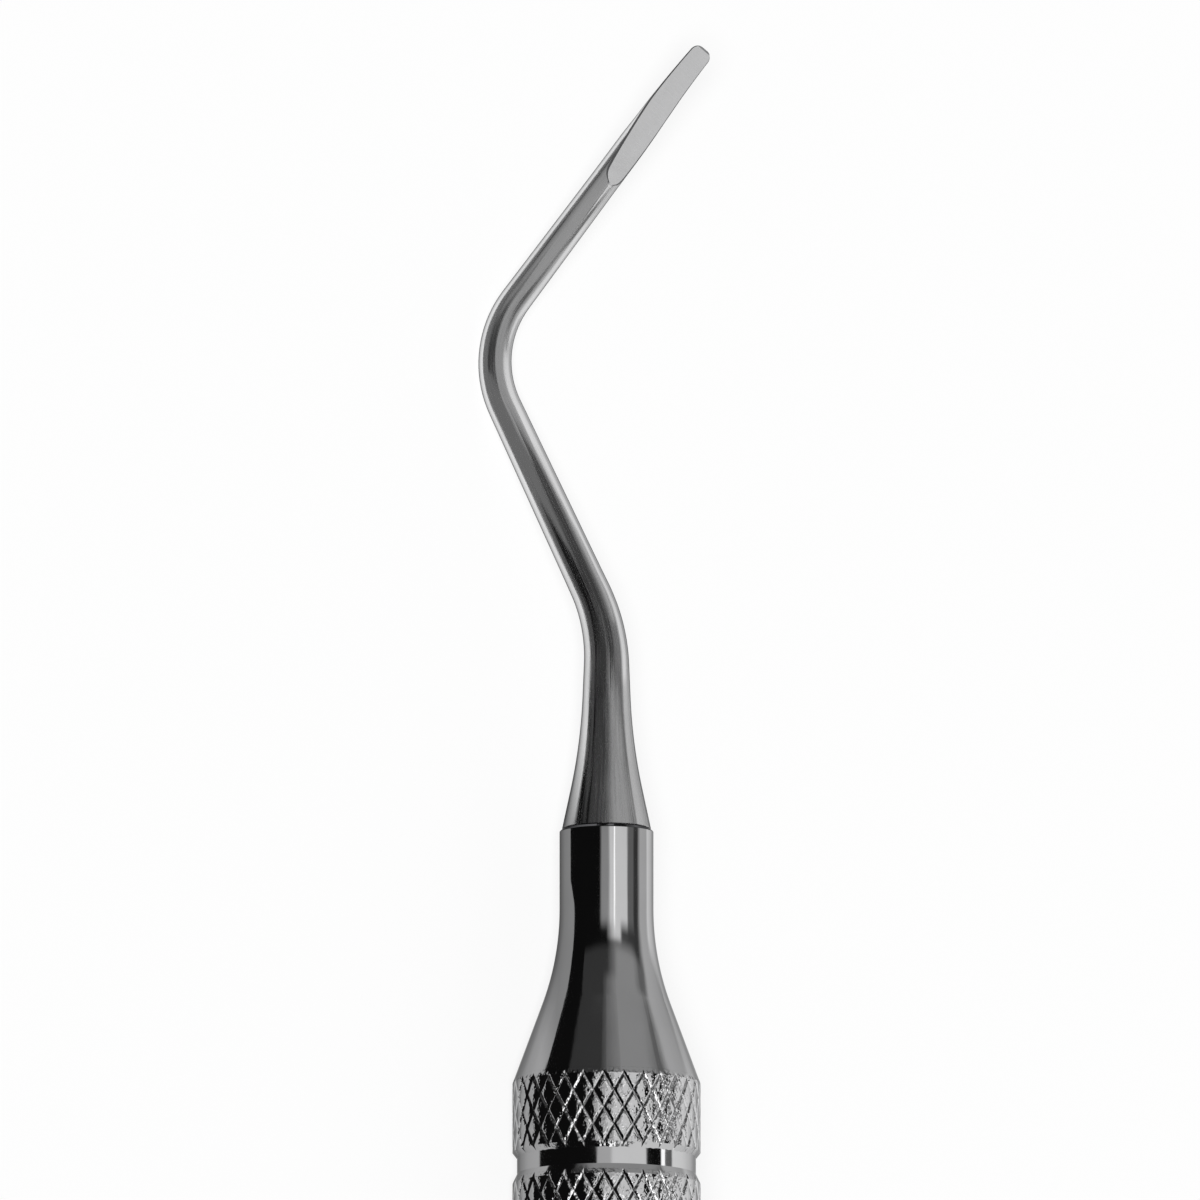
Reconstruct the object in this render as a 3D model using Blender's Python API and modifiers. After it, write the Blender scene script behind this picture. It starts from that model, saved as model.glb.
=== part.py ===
"""Root tip elevator: a knurled, bored handle, a bent working end with a ground blade, and an end plug.

Metres, +Z up. The instrument lies at rest on z = 0, on its grip and on the outside of its second bend.
The handle's axis runs along Y with the blade towards +Y, and the origin is under the middle of the whole.
Each piece is modelled upright about Z, with z = 0 at the nose face and the butt below, and a parent empty
lays the instrument down.
"""

import math

import bmesh
import bpy
from mathutils import Matrix, Vector

MM = 0.001

# Handle, from the nose face to the seat of the end plug
HANDLE_LENGTH = 117.0 * MM
GRIP_DIAMETER = 9.5 * MM
NOSE_DIAMETER = 4.75 * MM
NOSE_LENGTH = 4.05 * MM
NOSE_CHAMFER = 0.13 * MM
FLARE_ANGLE = math.radians(20.3)
FLARE_FILLET = 14.0 * MM

# Knurled bands, each followed by a ring groove
BAND_COUNT = 9
BAND_LENGTH = 3.50 * MM
KNURL_DIAMONDS = 29
KNURL_ROWS = 4
KNURL_DEPTH = 0.18 * MM
KNURL_RUN_OUT = 0.45 * MM
GROOVE_WIDTH = 1.61 * MM
GROOVE_FRONT_CHAMFER = 0.26 * MM
GROOVE_REAR_CHAMFER = 0.50 * MM
GROOVE_DEPTH = 0.23 * MM

# Bores and fits
WALL = 1.2 * MM
SOCKET_DIAMETER = 3.26 * MM
SOCKET_LENGTH = 14.5 * MM
DRILL_POINT_ANGLE = math.radians(59.0)
FIT_GAP = 0.03 * MM

# End plug: a domed head on a spigot
PLUG_HEAD_LENGTH = 3.0 * MM
PLUG_HEAD_ROUNDING = 1.6 * MM
PLUG_SPIGOT_LENGTH = 6.0 * MM
PLUG_CHAMFER = 0.4 * MM

# Tang and cone of the working end
TANG_LENGTH = 10.0 * MM
TANG_CHAMFER = 0.3 * MM
CONE_BASE_DIAMETER = 4.5 * MM
CONE_ANGLE = math.radians(12.0)
CONE_FILLET = 28.0 * MM
NECK_ANGLE = math.radians(2.4)

# Bent shank: bends are given by their corner on the axis, the angle they turn and their radius
FIRST_BEND_HEIGHT = 10.45 * MM
FIRST_BEND_ANGLE = math.radians(24.8)
FIRST_BEND_RADIUS = 9.1 * MM
LEG_LENGTH = 15.47 * MM
SECOND_BEND_ANGLE = math.radians(61.3)
SECOND_BEND_RADIUS = 5.4 * MM
TIP_REACH = 19.18 * MM
FIRST_BEND_DIAMETER = 1.96 * MM
SECOND_BEND_DIAMETER = 1.60 * MM
NECK_BLEND = 60.0 * MM

# Blade, from where its face starts to the tip
BLADE_LENGTH = 8.43 * MM
BLADE_DIAMETER = 1.48 * MM
FACE_TURN = math.radians(58.0)
FACE_ENTRY_LENGTH = 0.45 * MM
FACE_ENTRY_DEPTH = 0.215 * MM
FACE_ENTRY_FILLET = 1.5 * MM
FACE_SLOPE_LENGTH = 4.9 * MM
FACE_SLOPE_FILLET = 14.0 * MM
FACE_TIP_HEIGHT = -0.04 * MM
BACK_GRIND_LENGTH = 5.9 * MM
TIP_THICKNESS = 0.24 * MM
TIP_WIDTH = 1.24 * MM
TIP_TAPER_LENGTH = 3.7 * MM
TIP_CORNER_RADIUS = 0.42 * MM
TIP_CURL = 0.20 * MM
TIP_CURL_LENGTH = 3.0 * MM

# Fineness of the faceted surfaces
FILLET_STEPS = 4
RING_SIDES = 28
BEND_STEP = math.radians(5.6)
PLAIN_STEP = 2.6 * MM
BLADE_STEPS = 12
TIP_STEPS = 3
CUTTER_STEPS = 18
CUTTER_MARGIN = 1.0 * MM

# Sizes that follow from the ones above
GRIP_RADIUS = GRIP_DIAMETER / 2
NOSE_RADIUS = NOSE_DIAMETER / 2
SOCKET_RADIUS = SOCKET_DIAMETER / 2
BORE_RADIUS = GRIP_RADIUS - WALL
BLADE_RADIUS = BLADE_DIAMETER / 2
KNURL_COLUMNS = 2 * KNURL_DIAMONDS
COLUMN_ANGLE = 2 * math.pi / KNURL_COLUMNS
BAND_PITCH = BAND_LENGTH + GROOVE_WIDTH
FLARE_CORNER = NOSE_LENGTH + FLARE_FILLET * math.tan(FLARE_ANGLE / 2)
FLARE_END = FLARE_CORNER + (GRIP_RADIUS - NOSE_RADIUS) / math.tan(FLARE_ANGLE)
FLOOR_TO_AXIS = GRIP_RADIUS * math.cos(COLUMN_ANGLE / 2)


def rounded(corners, steps=FILLET_STEPS):
    """Points of an outline through (x, y, fillet radius) corners, each fillet as a run of short edges."""
    points = []
    for index, (x, y, radius) in enumerate(corners):
        corner = Vector((x, y))
        if not radius:
            points.append(corner)
            continue
        back = (Vector(corners[index - 1][:2]) - corner).normalized()
        ahead = (Vector(corners[index + 1][:2]) - corner).normalized()
        half = back.angle(ahead) / 2
        centre = corner + (back + ahead).normalized() * radius / math.sin(half)
        spoke = corner + back * radius / math.tan(half) - centre
        turn = math.copysign(math.pi - 2 * half, ahead.cross(back))
        points += [centre + Matrix.Rotation(turn * n / steps, 2) @ spoke for n in range(steps + 1)]
    return points


def value_at(profile, place):
    """Height of an (x, y) profile at a place along x."""
    for (x0, y0), (x1, y1) in zip(profile, profile[1:]):
        if place <= x1:
            break
    return y0 + (y1 - y0) * (place - x0) / (x1 - x0)


def link(mesh, name, collection):
    """A new object on a mesh, shaded smooth up to its turned and ground edges."""
    mesh.shade_smooth()
    mesh.set_sharp_from_angle(angle=math.radians(32))
    piece = bpy.data.objects.new(name, mesh)
    collection.objects.link(piece)
    return piece


def steel(name, colour, roughness):
    """Stainless steel finish."""
    material = bpy.data.materials.new(name)
    material.use_nodes = True
    shader = material.node_tree.nodes["Principled BSDF"]
    shader.inputs["Base Color"].default_value = (*colour, 1)
    shader.inputs["Metallic"].default_value = 1
    shader.inputs["Roughness"].default_value = roughness
    return material


def turned(name, profile, collection):
    """A closed (radius, z) profile spun about Z in as many sides as the knurl has columns."""
    mesh = bpy.data.meshes.new(name)
    points = [(radius, 0, z) for radius, z in profile]
    edges = [(n, (n + 1) % len(points)) for n in range(len(points))]
    mesh.from_pydata(points, edges, [])
    blank = bpy.data.objects.new(name, mesh)
    collection.objects.link(blank)
    screw = blank.modifiers.new("Spin", "SCREW")
    screw.steps = screw.render_steps = KNURL_COLUMNS
    screw.use_merge_vertices = True
    screw.merge_threshold = 1e-7
    bpy.context.view_layer.update()
    spun = bpy.data.meshes.new_from_object(blank.evaluated_get(bpy.context.evaluated_depsgraph_get()))
    bpy.data.objects.remove(blank)
    spun.name = name
    return spun


def band_rows():
    """Distance from the nose face of every ring of knurl points, with its row number."""
    rows = []
    for band in range(BAND_COUNT):
        start = FLARE_END + band * BAND_PITCH
        rows += [(start + BAND_LENGTH * n / KNURL_ROWS, n) for n in range(KNURL_ROWS + 1)]
    return rows


def handle_profile():
    """Outside from the nose to the butt, then back up the bore and the socket for the tang."""
    nose_corners = [
        (NOSE_RADIUS - NOSE_CHAMFER, 0, 0),
        (NOSE_RADIUS, -NOSE_CHAMFER, 0),
        (NOSE_RADIUS, -FLARE_CORNER, FLARE_FILLET),
        (GRIP_RADIUS, -FLARE_END, 0),
    ]
    run_out = GRIP_RADIUS - KNURL_RUN_OUT * math.tan(FLARE_ANGLE)
    outside = [tuple(point) for point in rounded(nose_corners)[:-1]]
    outside.append((run_out, -FLARE_END + KNURL_RUN_OUT))
    for band in range(BAND_COUNT):
        start = FLARE_END + band * BAND_PITCH
        outside += [(GRIP_RADIUS, -start - BAND_LENGTH * n / KNURL_ROWS) for n in range(KNURL_ROWS + 1)]
        floor = GRIP_RADIUS - GROOVE_DEPTH
        outside.append((floor, -start - BAND_LENGTH - GROOVE_FRONT_CHAMFER))
        outside.append((floor, -start - BAND_PITCH + GROOVE_REAR_CHAMFER))
    outside.append((GRIP_RADIUS, -FLARE_END - BAND_COUNT * BAND_PITCH))
    outside.append((GRIP_RADIUS, -HANDLE_LENGTH))
    drill_point = (BORE_RADIUS - SOCKET_RADIUS) / math.tan(DRILL_POINT_ANGLE)
    inside = [
        (BORE_RADIUS, -HANDLE_LENGTH),
        (BORE_RADIUS, -SOCKET_LENGTH - drill_point),
        (SOCKET_RADIUS, -SOCKET_LENGTH),
        (SOCKET_RADIUS, 0),
    ]
    return outside + inside


def knurl(mesh):
    """Press a diamond knurl into the bands: every other point goes in, and grooves join the low points."""
    rows = [(-place, row) for place, row in band_rows()]
    shape = bmesh.new()
    shape.from_mesh(mesh)
    low = set()
    for vert in shape.verts:
        radius = vert.co.xy.length
        row = next((n for z, n in rows if abs(vert.co.z - z) < FIT_GAP), None)
        if row is None or radius < GRIP_RADIUS - FIT_GAP:
            continue
        column = round(math.atan2(vert.co.y, vert.co.x) / COLUMN_ANGLE)
        if (row + column) % 2:
            vert.co.xy *= (GRIP_RADIUS - KNURL_DEPTH) / radius
            low.add(vert)
    for face in list(shape.faces):
        dips = [vert for vert in face.verts if vert in low]
        if len(dips) == 1:
            corner = list(face.verts).index(dips[0])
            dips.append(face.verts[(corner + 2) % len(face.verts)])
        if len(dips) == 2:
            bmesh.utils.face_split(face, dips[0], dips[1])
    shape.to_mesh(mesh)
    shape.free()


def make_handle(collection):
    """Turned handle: nose, concave flare, knurled bands between ring grooves, plain body, bored from the butt."""
    mesh = turned("handle", handle_profile(), collection)
    knurl(mesh)
    handle = link(mesh, "handle", collection)
    handle.rotation_euler.z = math.pi / 2 + COLUMN_ANGLE / 2
    return handle


def make_end_plug(collection):
    """Plug that closes the bore: a domed head as wide as the grip on a spigot, with a small flat on its end."""
    seat = -HANDLE_LENGTH - FIT_GAP
    end = seat - PLUG_HEAD_LENGTH
    spigot_radius = BORE_RADIUS - FIT_GAP
    top = seat + PLUG_SPIGOT_LENGTH
    corners = [
        (0, top, 0),
        (spigot_radius - PLUG_CHAMFER, top, 0),
        (spigot_radius, top - PLUG_CHAMFER, 0),
        (spigot_radius, seat, 0),
        (GRIP_RADIUS, seat, 0),
        (GRIP_RADIUS, end, PLUG_HEAD_ROUNDING),
        (0, end, 0),
    ]
    plug = link(turned("end_plug", rounded(corners), collection), "end_plug", collection)
    plug.rotation_euler.z = math.pi / 2 + COLUMN_ANGLE / 2
    return plug


def shank_runs():
    """The axis of the working end above the nose face, as (length, turn to the right) runs."""
    first_tangent = FIRST_BEND_RADIUS * math.tan(FIRST_BEND_ANGLE / 2)
    second_tangent = SECOND_BEND_RADIUS * math.tan(SECOND_BEND_ANGLE / 2)
    return [
        (FIRST_BEND_HEIGHT - first_tangent, 0),
        (FIRST_BEND_RADIUS * FIRST_BEND_ANGLE, -FIRST_BEND_ANGLE),
        (LEG_LENGTH - first_tangent - second_tangent, 0),
        (SECOND_BEND_RADIUS * SECOND_BEND_ANGLE, SECOND_BEND_ANGLE),
        (TIP_REACH - second_tangent, 0),
    ]


def axis_at(distance):
    """Centre (right, up) and heading of the axis at a distance along it from the nose face."""
    centre = Vector((0, min(distance, 0)))
    heading = 0
    for length, turn in shank_runs():
        part = min(max(distance, 0), length) / length
        middle = heading + turn * part / 2
        chord = length * part
        if turn and part:
            chord *= math.sin(turn * part / 2) / (turn * part / 2)
        centre = centre + Vector((math.sin(middle), math.cos(middle))) * chord
        heading += turn * part
        distance -= length * part
    return centre, heading


def shank_places():
    """Distances along the axis at which the straight runs and the bends start and end."""
    places = [0]
    for length, _turn in shank_runs():
        places.append(places[-1] + length)
    return places


def shank_profile():
    """(distance, radius) of the round bar from the cone's base to the tip, before the blade is ground."""
    _foot, _first_start, first_end, _second_start, second_end, tip = shank_places()
    base = CONE_BASE_DIAMETER / 2
    neck = FIRST_BEND_DIAMETER / 2
    cone_slope = math.tan(CONE_ANGLE)
    neck_slope = math.tan(NECK_ANGLE)
    cone_end = (base - neck - neck_slope * first_end) / (cone_slope - neck_slope)
    corners = [
        (FIT_GAP, base, 0),
        (cone_end, base - cone_slope * cone_end, CONE_FILLET),
        (first_end, neck, NECK_BLEND),
        (second_end, SECOND_BEND_DIAMETER / 2, 0),
        (tip - BLADE_LENGTH, BLADE_RADIUS, 0),
        (tip, BLADE_RADIUS, 0),
    ]
    return [tuple(point) for point in rounded(corners)]


def curl_at(place):
    """Lift of the blade towards its face, at a distance from the start of the face."""
    past = max(0, place - (BLADE_LENGTH - TIP_CURL_LENGTH)) / TIP_CURL_LENGTH
    return TIP_CURL * past**2


def blade_half_width(place):
    """Half of the blade's width: the bar's own, then a taper, then the tip's round corners."""
    taper = max(0, place - (BLADE_LENGTH - TIP_TAPER_LENGTH)) / TIP_TAPER_LENGTH
    width = BLADE_RADIUS + (TIP_WIDTH / 2 - BLADE_RADIUS) * taper
    into_corner = place - (BLADE_LENGTH - TIP_CORNER_RADIUS)
    if into_corner > 0:
        drop = math.sqrt(max(0, TIP_CORNER_RADIUS**2 - into_corner**2))
        width -= TIP_CORNER_RADIUS - drop
    return width


def blade_back(place):
    """Depth of the blade's rounded back below the axis, thinned towards the tip."""
    ground = max(0, place - (BLADE_LENGTH - BACK_GRIND_LENGTH)) / BACK_GRIND_LENGTH
    tip_back = TIP_THICKNESS - FACE_TIP_HEIGHT
    return BLADE_RADIUS + (tip_back - BLADE_RADIUS) * (1 - (1 - ground) ** 2)


def sections():
    """(distance, half width, height to the face, depth to the back) of every ring, tang first."""
    profile = shank_profile()
    places = shank_places()
    tip = places[-1]
    blade_start = tip - BLADE_LENGTH
    tang = SOCKET_RADIUS - FIT_GAP
    round_rings = [
        (-TANG_LENGTH, tang - TANG_CHAMFER),
        (-TANG_LENGTH + TANG_CHAMFER, tang),
        (FIT_GAP, tang),
    ]
    stations = {place for place, _radius in profile if place < blade_start}
    for start, end in zip(places[:-1], places[1:]):
        turn = axis_at(end)[1] - axis_at(start)[1]
        count = math.ceil(max((min(end, blade_start) - start) / PLAIN_STEP, abs(turn) / BEND_STEP))
        stations |= {start + (min(end, blade_start) - start) * n / count for n in range(count + 1)}
    kept = [place for place in sorted(stations) if place > 0]
    round_rings += [(place, value_at(profile, place)) for place in kept]
    rings = [(place, radius, radius, radius) for place, radius in round_rings]
    corner_start = BLADE_LENGTH - TIP_CORNER_RADIUS
    blade = [corner_start * n / BLADE_STEPS for n in range(1, BLADE_STEPS + 1)]
    quarter = math.pi / 2
    blade += [
        corner_start + TIP_CORNER_RADIUS * math.sin(quarter * n / TIP_STEPS) for n in range(1, TIP_STEPS + 1)
    ]
    rings += [(blade_start + place, blade_half_width(place), BLADE_RADIUS, blade_back(place)) for place in blade]
    return rings


def ring_points(distance, half_width, face_height, back_depth):
    """Points of one cross-section, square to the axis, the first one on the side of the blade's face."""
    centre, heading = axis_at(distance)
    across = Vector((math.cos(heading), 0, -math.sin(heading)))
    outward = Vector((0, -1, 0))
    towards_face = across * math.cos(FACE_TURN) + outward * math.sin(FACE_TURN)
    sideways = outward * math.cos(FACE_TURN) - across * math.sin(FACE_TURN)
    lift = curl_at(distance - (shank_places()[-1] - BLADE_LENGTH))
    middle = Vector((centre.x, 0, centre.y)) + towards_face * lift
    points = []
    for side in range(RING_SIDES):
        angle = 2 * math.pi * side / RING_SIDES
        height = face_height if math.cos(angle) > 0 else back_depth
        points.append(middle + towards_face * height * math.cos(angle) + sideways * half_width * math.sin(angle))
    return points


def loft(name, rings):
    """Closed skin over a row of rings of points, with flat ends."""
    shape = bmesh.new()
    rows = [[shape.verts.new(point) for point in ring] for ring in rings]
    for low, high in zip(rows, rows[1:]):
        for side in range(RING_SIDES):
            beside = (side + 1) % RING_SIDES
            shape.faces.new((low[side], low[beside], high[beside], high[side]))
    shape.faces.new(rows[0])
    shape.faces.new(rows[-1])
    bmesh.ops.recalc_face_normals(shape, faces=shape.faces)
    mesh = bpy.data.meshes.new(name)
    shape.to_mesh(mesh)
    shape.free()
    return mesh


def make_face_cutter(collection):
    """Grinding wheel's path: the side view of the blade's face, swept across it and open towards the tip."""
    corners = [
        (-FACE_ENTRY_LENGTH, BLADE_RADIUS + FACE_ENTRY_DEPTH, 0),
        (FACE_ENTRY_LENGTH, BLADE_RADIUS - FACE_ENTRY_DEPTH, FACE_ENTRY_FILLET),
        (FACE_SLOPE_LENGTH, 0, FACE_SLOPE_FILLET),
        (BLADE_LENGTH + CUTTER_MARGIN, FACE_TIP_HEIGHT, 0),
    ]
    ground = [tuple(point) for point in rounded(corners)]
    span = BLADE_LENGTH + CUTTER_MARGIN - FACE_SLOPE_LENGTH
    past_slope = [FACE_SLOPE_LENGTH + span * n / CUTTER_STEPS for n in range(1, CUTTER_STEPS + 1)]
    places = sorted([x for x, _height in ground] + past_slope[:-1])
    outline = [(x, value_at(ground, x) + curl_at(x)) for x in places]
    above = outline[-1][1] + GRIP_RADIUS
    outline += [(BLADE_LENGTH + CUTTER_MARGIN, above), (-FACE_ENTRY_LENGTH, above)]
    start = shank_places()[-1] - BLADE_LENGTH
    centre, heading = axis_at(start)
    along = Vector((math.sin(heading), 0, math.cos(heading)))
    across = Vector((math.cos(heading), 0, -math.sin(heading)))
    outward = Vector((0, -1, 0))
    towards_face = across * math.cos(FACE_TURN) + outward * math.sin(FACE_TURN)
    sideways = outward * math.cos(FACE_TURN) - across * math.sin(FACE_TURN)
    origin = Vector((centre.x, 0, centre.y)) - sideways * BLADE_DIAMETER
    shape = bmesh.new()
    side = shape.faces.new([shape.verts.new(origin + along * x + towards_face * y) for x, y in outline])
    swept = bmesh.ops.extrude_face_region(shape, geom=[side])["geom"]
    moved = [item for item in swept if isinstance(item, bmesh.types.BMVert)]
    bmesh.ops.translate(shape, verts=moved, vec=sideways * 2 * BLADE_DIAMETER)
    bmesh.ops.recalc_face_normals(shape, faces=shape.faces)
    mesh = bpy.data.meshes.new("face_cutter")
    shape.to_mesh(mesh)
    shape.free()
    cutter = link(mesh, "face_cutter", collection)
    cutter.hide_render = True
    cutter.display_type = "WIRE"
    return cutter


def rest_roll():
    """Roll of the bent end about the handle's axis that lays the outside of its second bend on the floor."""
    profile = shank_profile()
    _foot, _first_start, _first_end, second_start, second_end, _tip = shank_places()
    steps = math.ceil(SECOND_BEND_ANGLE / BEND_STEP) * FILLET_STEPS
    places = [second_start + (second_end - second_start) * n / steps for n in range(steps + 1)]
    reach, radius = min((axis_at(place)[0].x, value_at(profile, place)) for place in places)
    return math.asin(min(1, (FLOOR_TO_AXIS - radius) / -reach))


def make_working_end(collection, cutters):
    """Tang, cone, twice-bent tapering shank and blade, one bar of steel ground flat on the blade's face."""
    rings = [ring_points(*section) for section in sections()]
    working_end = link(loft("working_end", rings), "working_end", collection)
    cutter = make_face_cutter(cutters)
    grind = working_end.modifiers.new("Grind face", "BOOLEAN")
    grind.operation = "DIFFERENCE"
    grind.object = cutter
    roll = -rest_roll()
    working_end.rotation_euler.z = roll
    cutter.rotation_euler.z = roll
    return working_end, cutter


def tip_reach():
    """How far the tip stands past the nose face."""
    centre, heading = axis_at(shank_places()[-1])
    return centre.y + TIP_WIDTH / 2 * math.sin(heading) * math.sin(FACE_TURN)


def main():
    for old in list(bpy.data.objects):
        bpy.data.objects.remove(old)
    instrument = bpy.data.collections.new("root_tip_elevator")
    cutters = bpy.data.collections.new("cutters")
    for collection in (instrument, cutters):
        bpy.context.scene.collection.children.link(collection)
    handle = make_handle(instrument)
    plug = make_end_plug(instrument)
    working_end, cutter = make_working_end(instrument, cutters)
    handle.data.materials.append(steel("handle_steel", (0.62, 0.62, 0.63), 0.16))
    plug.data.materials.append(steel("plug_steel", (0.62, 0.62, 0.63), 0.2))
    working_end.data.materials.append(steel("blade_steel", (0.66, 0.66, 0.67), 0.24))
    axis = bpy.data.objects.new("instrument_axis", None)
    instrument.objects.link(axis)
    for piece in (handle, plug, working_end, cutter):
        piece.parent = axis
    butt = HANDLE_LENGTH + FIT_GAP + PLUG_HEAD_LENGTH
    axis.location = (0, (butt - tip_reach()) / 2, FLOOR_TO_AXIS)
    axis.rotation_euler.x = -math.pi / 2


main()
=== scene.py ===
"""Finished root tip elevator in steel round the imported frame: knurled handle, bent working end, end plug.

Metres, in the frame's own axes: the instrument lies on z = 0 along Y with its blade towards +Y. Places on
the handle are distances from its nose face towards the butt. On the working end they run the other way.
"""

import math
from bisect import bisect_left

import bpy
from bpy.props import FloatProperty, FloatVectorProperty, IntProperty, PointerProperty
from mathutils import Matrix, Vector


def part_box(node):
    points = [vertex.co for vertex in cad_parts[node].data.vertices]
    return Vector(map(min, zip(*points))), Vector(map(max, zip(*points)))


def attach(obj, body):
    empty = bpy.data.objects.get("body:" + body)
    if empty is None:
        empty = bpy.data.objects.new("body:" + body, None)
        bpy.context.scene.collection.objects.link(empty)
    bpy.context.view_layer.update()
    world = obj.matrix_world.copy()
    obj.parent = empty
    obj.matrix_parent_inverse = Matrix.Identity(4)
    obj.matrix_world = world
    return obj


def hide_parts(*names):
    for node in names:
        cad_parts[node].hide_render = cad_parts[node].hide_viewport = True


bl_info = {
    "name": "Root tip elevator",
    "version": (1, 0, 0),
    "blender": (4, 5, 0),
    "location": "3D View > Sidebar > Elevator",
    "description": "Builds the finished root tip elevator and the studio that it lies in",
    "category": "Add Mesh",
}

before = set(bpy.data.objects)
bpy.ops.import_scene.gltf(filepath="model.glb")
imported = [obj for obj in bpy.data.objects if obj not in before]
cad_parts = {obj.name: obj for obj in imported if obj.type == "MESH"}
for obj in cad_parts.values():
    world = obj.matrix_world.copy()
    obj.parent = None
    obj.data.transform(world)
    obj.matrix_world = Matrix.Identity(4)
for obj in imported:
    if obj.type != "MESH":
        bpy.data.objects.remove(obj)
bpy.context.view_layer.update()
HANDLE_LOW, HANDLE_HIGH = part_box("handle")

MM = 0.001
GRIP_RADIUS = (HANDLE_HIGH.x - HANDLE_LOW.x) / 2
AXIS_HEIGHT = (HANDLE_HIGH.z + HANDLE_LOW.z) / 2
NOSE_Y = HANDLE_HIGH.y
HANDLE_LENGTH = HANDLE_HIGH.y - HANDLE_LOW.y
FIT_GAP = 0.03 * MM

# A pitch of the knurl is divided into this many lattice steps, each way
KNURL_STEPS = 6

# Value that the knurl attribute has on a diamond's top, from where it rises to 1 at the bottom of a groove,
# and the value past which a groove gets the full painted highlight in its colour
KNURL_TOP = 0.5
KNURL_FULL_HIGHLIGHT = 0.7

# The plain rings of the flare end this many run-outs ahead of the knurl
RUN_OUT_CLEAR = 1.5

# Finishes of the working end, in the order of its materials. The last is dark steel on the stoned edge
# round the face and on the tip's end, a painted shade for the dark outline of these edges.
SATIN, GROUND, STONED_PAINTED_SHADE = range(3)

# Half angle of the bar that the face's points cover at least, also where the face isn't ground yet, and
# largest share of the face's outer strip that its stoned edge takes
NARROWEST_FACE = math.radians(12)
EDGE_LIMIT = 0.45

# Angles past which an edge is shaded sharp
TURNED_SHARP = math.radians(24)
GROUND_SHARP = math.radians(20)

# Fineness of the smooth surfaces
FILLET_STEPS = 24
ROLL_STEPS = 44
PLUG_SIDES = 128
BACK_SIDES = 72
FACE_SIDES = 10
BODY_STEP = 4 * MM
SHANK_STEP = 0.3 * MM
BLADE_STEP = 0.12 * MM
TIP_STEPS = 14

# The nearest and farthest that the camera sees, as shares of its distance
CLIP = (0.1, 100)

# Share of its brightness that steel keeps at a grazing angle
POLISHED_EDGE = 0.35
SATIN_EDGE = 0.08

# Depths of the marks in the steel
LATHE_RINGS = 0.00012 * MM
POLISH_WAVES = 0.009 * MM
POLISH_STREAKS = 0.0012 * MM
KNURL_BURR = 0.055 * MM
SATIN_LINES = 0.0009 * MM
STONE_LINES = 0.0012 * MM

# Shares of a steel's own roughness between which it varies
POLISHED_ROUGHNESS = (0.7, 1.5)
SATIN_ROUGHNESS = (0.75, 1.7)
GROUND_ROUGHNESS = (0.85, 1.15)

# Shares of a steel's own colour where it is dull, and in the knurl's grooves, where the brighter colour is
# a painted highlight
POLISHED_DULL = 0.94
SATIN_DULL = 0.93
GROUND_DULL = 0.96
KNURL_PAINTED_HIGHLIGHT = 1.2


def length(name, description, millimetres):
    """Property for a size, which is kept in metres."""
    size = millimetres * MM
    return FloatProperty(
        name=name, description=description, default=size, precision=5, subtype="DISTANCE", unit="LENGTH"
    )


def angle(name, description, degrees):
    """Property for an angle."""
    return FloatProperty(
        name=name, description=description, default=math.radians(degrees), subtype="ANGLE", unit="ROTATION"
    )


def share(name, description, default):
    """Property for a value between nothing and all."""
    return FloatProperty(
        name=name, description=description, default=default, min=0, max=1, subtype="FACTOR"
    )


def colour(name, description, default):
    """Property for a colour."""
    return FloatVectorProperty(
        name=name, description=description, default=default, size=3, min=0, max=1, subtype="COLOR"
    )


class ElevatorHandle(bpy.types.PropertyGroup):
    """Sizes and finish of the handle."""

    nose_diameter: length("Nose diameter", "Across the plain nose in front of the flare", 4.75)
    nose_length: length("Nose length", "From the nose face to where the flare starts", 4.05)
    nose_chamfer: length("Nose chamfer", "Broken edge round the nose face", 0.13)
    nose_break: length("Nose edge", "Radius that the polish leaves on the chamfer's edges", 0.06)
    flare_angle: angle("Flare angle", "Slope of the flare between nose and grip", 20.3)
    flare_fillet: length("Flare fillet", "Radius of the hollow between nose and flare", 14.0)
    band_count: IntProperty(name="Bands", description="Number of knurled bands", default=9, min=1)
    band_length: length("Band length", "Length of one knurled band", 3.5)
    diamonds: IntProperty(name="Diamonds", description="Diamonds round the grip", default=29, min=8)
    band_pitches: IntProperty(name="Band pitches", description="Diamonds along a band", default=2, min=1)
    knurl_turn: share("Knurl turn", "Turn of the pattern round the grip, as a share of a pitch", 0.326)
    knurl_wall: share("Knurl wall", "Width of a knurl groove's wall as a share of the pitch", 0.10)
    knurl_groove: share("Knurl groove", "Half a knurl groove's width as a share of the pitch", 0.165)
    knurl_depth: length("Knurl depth", "Depth of the knurl's grooves", 0.085)
    knurl_shoulder: length("Knurl shoulder", "Depth of the rounded shoulder over a wall", 0.02)
    run_out: length("Run-out", "How far the knurling wheel's marks run on to the flare", 0.36)
    groove_width: length("Ring groove width", "From one band to the next", 1.61)
    groove_depth: length("Ring groove depth", "Depth of the smooth grooves between the bands", 0.23)
    front_chamfer: length("Front chamfer", "Slope at the nose side of a ring groove", 0.26)
    rear_chamfer: length("Rear chamfer", "Slope at the butt side of a ring groove", 0.50)
    wall: length("Wall", "Thickness of the handle's wall round the bore", 1.2)
    socket_diameter: length("Socket diameter", "Across the socket for the tang", 3.26)
    socket_length: length("Socket length", "Depth of the socket for the tang", 14.5)
    drill_angle: angle("Drill point", "Half angle of the cone between bore and socket", 59.0)
    steel: colour("Steel", "Colour of the polished steel", (0.60, 0.60, 0.605))
    # Painted shade: a near-black steel colour on the nose's chamfered edge stands in for the shadow line in
    # the seam where the cone sits on the nose
    painted_seam_shade_steel: colour("Seam steel", "Colour of the nose's edge at the seam", (0.12, 0.12, 0.125))
    roughness: share("Roughness", "Roughness of the polished steel", 0.07)


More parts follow.
